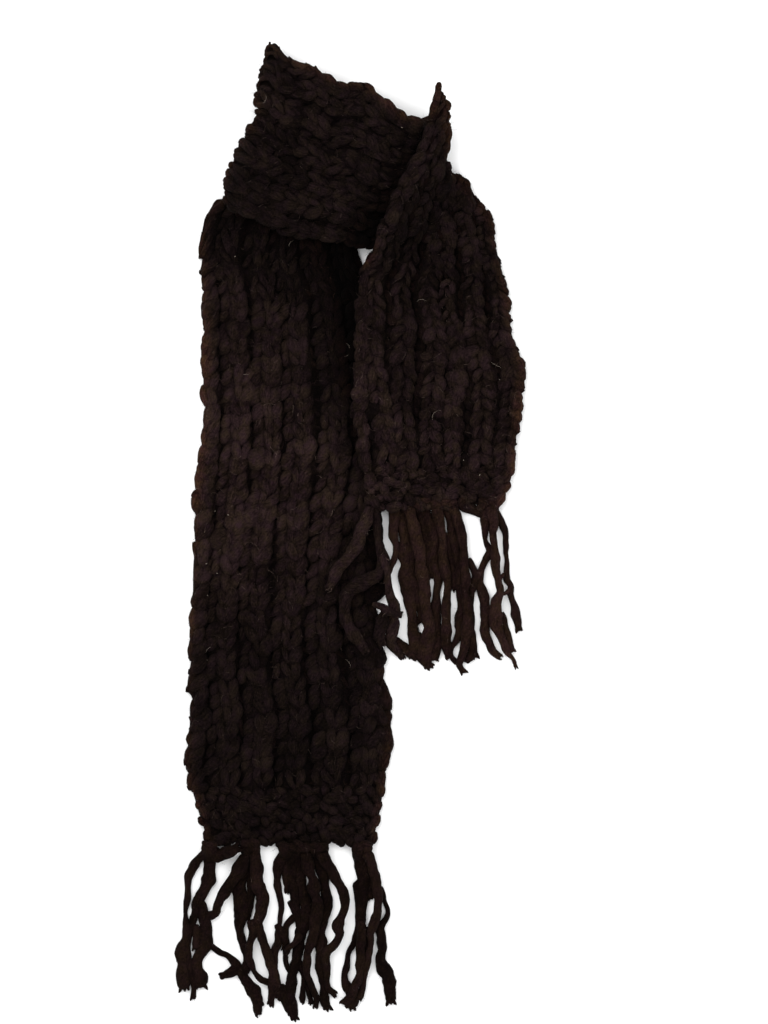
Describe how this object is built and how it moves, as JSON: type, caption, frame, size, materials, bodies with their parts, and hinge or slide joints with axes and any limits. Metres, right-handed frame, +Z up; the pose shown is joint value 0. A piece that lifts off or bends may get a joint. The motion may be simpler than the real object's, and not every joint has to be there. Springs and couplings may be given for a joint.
{
  "type": "knit scarf",
  "caption": "Chunky ribbed knit scarf laid flat as if wound once round a neck, one long and one short end, each with a garter border and a knotted yarn fringe.",
  "frame": {"origin": "middle of the scarf's outline on the surface that it lies on", "axes": "+Z up from that surface, +Y towards the neck fold, so that the long end points towards -Y, and the short end lies on the +X side"},
  "size_m": [0.2962, 0.8321, 0.0444],
  "materials": {
    "tail_long": "matte brushed wool rib",
    "neck_band": "matte brushed wool rib",
    "neck_back": "matte brushed wool rib",
    "tail_short": "matte brushed wool rib",
    "fringe_long_1": "loosely spun wool yarn",
    "fringe_long_2": "loosely spun wool yarn",
    "fringe_long_3": "loosely spun wool yarn",
    "fringe_short_1": "loosely spun wool yarn",
    "fringe_short_2": "loosely spun wool yarn",
    "fringe_short_3": "loosely spun wool yarn"
  },
  "bodies": {
    "root": {"tail_long": "tail_long", "neck_band": "neck_band", "neck_back": "neck_back", "tail_short": "tail_short", "fringe_long_1": "fringe_long_1", "fringe_long_2": "fringe_long_2", "fringe_long_3": "fringe_long_3", "fringe_short_1": "fringe_short_1", "fringe_short_2": "fringe_short_2", "fringe_short_3": "fringe_short_3"}
  },
  "joints": []
}
